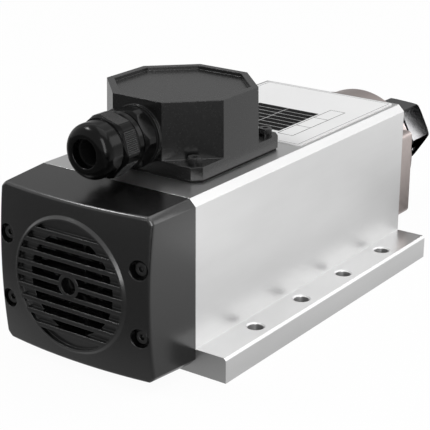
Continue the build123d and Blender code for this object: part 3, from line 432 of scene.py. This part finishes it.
def makeKnurlTree(finish):
    # A ring of small ribs round each point, for the grip on a socket head screw
    tree, entry, exit = startTree("headKnurl", {
        "Ribs": ("Int", 24), "Head radius": ("Float", 0.0035), "Rib size": ("Float", 0.0003),
        "Length": ("Float", 0.002), "Turn": ("Vector", (0, 0, 0)),
    })
    ring, rib, aroundHead, lookOut, ontoHeads, tilt = addSteps(
        tree, "GeometryNodeMeshCircle", "GeometryNodeMeshCylinder", "GeometryNodeInstanceOnPoints",
        "FunctionNodeAlignEulerToVector", "GeometryNodeInstanceOnPoints", "GeometryNodeTransform")
    where = tree.nodes.new("GeometryNodeInputPosition")
    rib.inputs["Vertices"].default_value = 4
    tree.links.new(entry.outputs["Ribs"], ring.inputs["Vertices"])
    tree.links.new(entry.outputs["Head radius"], ring.inputs["Radius"])
    tree.links.new(entry.outputs["Rib size"], rib.inputs["Radius"])
    tree.links.new(entry.outputs["Length"], rib.inputs["Depth"])
    lookOut.axis = "X"
    tree.links.new(where.outputs["Position"], lookOut.inputs["Vector"])
    tree.links.new(ring.outputs["Mesh"], aroundHead.inputs["Points"])
    tree.links.new(rib.outputs["Mesh"], aroundHead.inputs["Instance"])
    tree.links.new(lookOut.outputs["Rotation"], aroundHead.inputs["Rotation"])
    tree.links.new(aroundHead.outputs["Instances"], tilt.inputs["Geometry"])
    tree.links.new(entry.outputs["Turn"], tilt.inputs["Rotation"])
    tree.links.new(entry.outputs["Geometry"], ontoHeads.inputs["Points"])
    tree.links.new(tilt.outputs["Geometry"], ontoHeads.inputs["Instance"])
    endTree(tree, ontoHeads.outputs["Instances"], exit, finish)
    return tree


screwGrip = {
    "ribs": 26, "ribSize": 0.00022, "share": 0.62,
    "m4Radius": 0.0035, "m4Height": 0.004, "m3Radius": 0.00275, "m3Height": 0.003,
    "across": math.pi / 2,
}


def gripHeads(name, node, radius, height, turn, alongX, body):
    # The four heads sit at the corners of the node's own box
    low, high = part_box(node)
    if alongX:
        headX = (low.x + height / 2) if alongX < 0 else (high.x - height / 2)
        corners = [(headX, y, z) for y in (low.y + radius, high.y - radius)
                   for z in (low.z + radius, high.z - radius)]
    else:
        corners = [(x, y, high.z - height / 2) for x in (low.x + radius, high.x - radius)
                   for y in (low.y + radius, high.y - radius)]
    sizes = {"Ribs": screwGrip["ribs"], "Head radius": radius, "Rib size": screwGrip["ribSize"],
             "Length": height * screwGrip["share"], "Turn": turn}
    growPiece(name, corners, knurlTree, sizes, body)


knurlTree = makeKnurlTree(finishes["black_screws"])
gripHeads("boxScrewGrips", "terminal_box_screws", screwGrip["m3Radius"], screwGrip["m3Height"], (0, 0, 0), 0, "root")
gripHeads("coverScrewGrips", "rear_cover_screws", screwGrip["m3Radius"], screwGrip["m3Height"],
          (0, screwGrip["across"], 0), -1, "root")
gripHeads("noseScrewGrips", "nose_screws", screwGrip["m4Radius"], screwGrip["m4Height"],
          (0, screwGrip["across"], 0), 1, "root")
print("screw heads have their grips")


def makeCapGripTree(finish):
    # Diamond knurl on each flat of the gland's cap: rows of small four sided points
    tree, entry, exit = startTree("capGrip", {
        "Flats": ("Int", 6), "Across": ("Float", 0.012), "Length": ("Float", 0.007), "Width": ("Float", 0.008),
        "Rows": ("Int", 10), "Columns": ("Int", 9), "Point size": ("Float", 0.0005),
        "Point height": ("Float", 0.0003), "Turn": ("Vector", (0, 0, 0)),
    })
    panel, diamond, ontoPanel, ring, lookOut, ontoRing, tilt, place, where = addSteps(
        tree, "GeometryNodeMeshGrid", "GeometryNodeMeshCone", "GeometryNodeInstanceOnPoints",
        "GeometryNodeMeshCircle", "FunctionNodeAlignEulerToVector", "GeometryNodeInstanceOnPoints",
        "GeometryNodeTransform", "GeometryNodeInstanceOnPoints", "GeometryNodeInputPosition")
    diamond.inputs["Vertices"].default_value = 4
    diamond.inputs["Radius Top"].default_value = 0
    tree.links.new(entry.outputs["Width"], panel.inputs["Size X"])
    tree.links.new(entry.outputs["Length"], panel.inputs["Size Y"])
    tree.links.new(entry.outputs["Columns"], panel.inputs["Vertices X"])
    tree.links.new(entry.outputs["Rows"], panel.inputs["Vertices Y"])
    tree.links.new(entry.outputs["Point size"], diamond.inputs["Radius Bottom"])
    tree.links.new(entry.outputs["Point height"], diamond.inputs["Depth"])
    tree.links.new(panel.outputs["Mesh"], ontoPanel.inputs["Points"])
    tree.links.new(diamond.outputs["Mesh"], ontoPanel.inputs["Instance"])
    # the panel lies flat, so it is stood up to face outwards along X before it goes round the ring
    stand = tree.nodes.new("GeometryNodeTransform")
    stand.inputs["Rotation"].default_value = (math.pi / 2, 0, math.pi / 2)
    tree.links.new(ontoPanel.outputs["Instances"], stand.inputs["Geometry"])
    tree.links.new(entry.outputs["Flats"], ring.inputs["Vertices"])
    tree.links.new(entry.outputs["Across"], ring.inputs["Radius"])
    lookOut.axis = "X"
    tree.links.new(where.outputs["Position"], lookOut.inputs["Vector"])
    tree.links.new(ring.outputs["Mesh"], ontoRing.inputs["Points"])
    tree.links.new(stand.outputs["Geometry"], ontoRing.inputs["Instance"])
    tree.links.new(lookOut.outputs["Rotation"], ontoRing.inputs["Rotation"])
    tree.links.new(ontoRing.outputs["Instances"], tilt.inputs["Geometry"])
    tree.links.new(entry.outputs["Turn"], tilt.inputs["Rotation"])
    tree.links.new(entry.outputs["Geometry"], place.inputs["Points"])
    tree.links.new(tilt.outputs["Geometry"], place.inputs["Instance"])
    endTree(tree, place.outputs["Instances"], exit, finish)
    return tree


capGrip = {"across": 0.012, "width": 0.0088, "length": 0.0062, "rows": 9, "columns": 12, "size": 0.00052,
           "height": 0.00045, "middle": -0.0896, "turn": 15}
capTurn = Matrix.Rotation(math.pi / 2, 3, "Y") @ Matrix.Rotation(math.radians(capGrip["turn"]), 3, "Z")
growPiece("glandCapGrip", [(capGrip["middle"], 0, glandHeight)], makeCapGripTree(finishes["grip_black"]), {
    "Across": capGrip["across"], "Length": capGrip["length"], "Width": capGrip["width"], "Rows": capGrip["rows"],
    "Columns": capGrip["columns"], "Point size": capGrip["size"], "Point height": capGrip["height"],
    "Turn": capTurn.to_euler(),
}, "gland_cap")
print("the gland's cap has its grip")


def makeRuleTree(finish):
    # Thin printed lines in rows and columns, round each point
    tree, entry, exit = startTree("printedRules", {
        "Rows": ("Int", 7), "Columns": ("Int", 4), "Length": ("Float", 0.03), "Width": ("Float", 0.04),
        "Line": ("Float", 0.0003), "Thickness": ("Float", 0.00004),
    })
    rowLine, columnLine, rowBar, columnBar, rows, columns, both, place = addSteps(
        tree, "GeometryNodeMeshGrid", "GeometryNodeMeshGrid", "GeometryNodeMeshCube", "GeometryNodeMeshCube",
        "GeometryNodeInstanceOnPoints", "GeometryNodeInstanceOnPoints", "GeometryNodeJoinGeometry",
        "GeometryNodeInstanceOnPoints")
    rowSize, columnSize = addSteps(tree, "ShaderNodeCombineXYZ", "ShaderNodeCombineXYZ")
    for line, along, count in ((rowLine, "Size X", "Rows"), (columnLine, "Size Y", "Columns")):
        line.inputs["Size X"].default_value = 0
        line.inputs["Size Y"].default_value = 0
        line.inputs["Vertices X"].default_value = 1
        line.inputs["Vertices Y"].default_value = 1
        tree.links.new(entry.outputs["Length" if count == "Rows" else "Width"], line.inputs[along])
        tree.links.new(entry.outputs[count], line.inputs["Vertices X" if count == "Rows" else "Vertices Y"])
    tree.links.new(entry.outputs["Line"], rowSize.inputs["X"])
    tree.links.new(entry.outputs["Width"], rowSize.inputs["Y"])
    tree.links.new(entry.outputs["Thickness"], rowSize.inputs["Z"])
    tree.links.new(entry.outputs["Length"], columnSize.inputs["X"])
    tree.links.new(entry.outputs["Line"], columnSize.inputs["Y"])
    tree.links.new(entry.outputs["Thickness"], columnSize.inputs["Z"])
    for line, bar, size, copies in ((rowLine, rowBar, rowSize, rows), (columnLine, columnBar, columnSize, columns)):
        tree.links.new(size.outputs["Vector"], bar.inputs["Size"])
        tree.links.new(line.outputs["Mesh"], copies.inputs["Points"])
        tree.links.new(bar.outputs["Mesh"], copies.inputs["Instance"])
        tree.links.new(copies.outputs["Instances"], both.inputs["Geometry"])
    tree.links.new(entry.outputs["Geometry"], place.inputs["Points"])
    tree.links.new(both.outputs["Geometry"], place.inputs["Instance"])
    endTree(tree, place.outputs["Instances"], exit, finish)
    return tree


def makeInk(name, colour, rough):
    ink = Finish(name, rough=rough, specular=0.015)
    blotches = ink.noise(ink.place, 900, 2, 0.5)
    ink.colour(ink.blended(ink.ranged(blotches, 0, 1), tuple(0.9 * part for part in colour), colour))
    return ink.material


labelPrint = {
    "tableX": (0.0095, 0.0440), "tableY": (-0.0168, 0.0168), "tableRows": 8, "tableColumns": 3,
    "boxX": (0.0070, 0.0530), "boxY": (-0.0256, -0.0178), "boxRows": 4, "boxColumns": 2,
    "frameX": (-0.0025, 0.0795), "frameY": (-0.0345, 0.0345),
    "line": 0.00028, "ink": 0.00003,
}
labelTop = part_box("label_plate")[1].z
blackInk = makeInk("blackInk", (0.006, 0.006, 0.006), 0.4)
greyInk = makeInk("greyInk", (0.3, 0.3, 0.3), 0.45)
whiteInk = makeInk("whiteInk", (0.75, 0.75, 0.75), 0.4)


def printSheet(name, xs, ys, low, high, ink):
    # A flat printed patch between two heights
    sheet = bpy.data.meshes.new(name)
    shape = bmesh.new()
    bmesh.ops.create_cube(shape, size=1)
    middle = Vector(((xs[0] + xs[1]) / 2, (ys[0] + ys[1]) / 2, (low + high) / 2))
    spread = Vector((xs[1] - xs[0], ys[1] - ys[0], high - low))
    for corner in shape.verts:
        corner.co = Vector(part * size for part, size in zip(corner.co, spread)) + middle
    shape.to_mesh(sheet)
    shape.free()
    sheet.materials.append(ink)
    patch = addObject(name, sheet)
    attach(patch, "root")


def ruleArea(name, xs, ys, rows, columns, low, ink):
    middle = ((xs[0] + xs[1]) / 2, (ys[0] + ys[1]) / 2, low + labelPrint["ink"] / 2)
    growPiece(name, [middle], makeRuleTree(ink), {
        "Rows": rows, "Columns": columns, "Length": xs[1] - xs[0], "Width": ys[1] - ys[0],
        "Line": labelPrint["line"], "Thickness": labelPrint["ink"],
    }, "root")


printSheet("labelTableGround", labelPrint["tableX"], labelPrint["tableY"], labelTop, labelTop + labelPrint["ink"],
           blackInk)
ruleArea("labelTableRules", labelPrint["tableX"], labelPrint["tableY"], labelPrint["tableRows"],
         labelPrint["tableColumns"], labelTop + labelPrint["ink"], whiteInk)
ruleArea("labelBoxRules", labelPrint["boxX"], labelPrint["boxY"], labelPrint["boxRows"], labelPrint["boxColumns"],
         labelTop, blackInk)
ruleArea("labelFrame", labelPrint["frameX"], labelPrint["frameY"], 2, 2, labelTop, greyInk)
print("the label has its plain ruled areas")
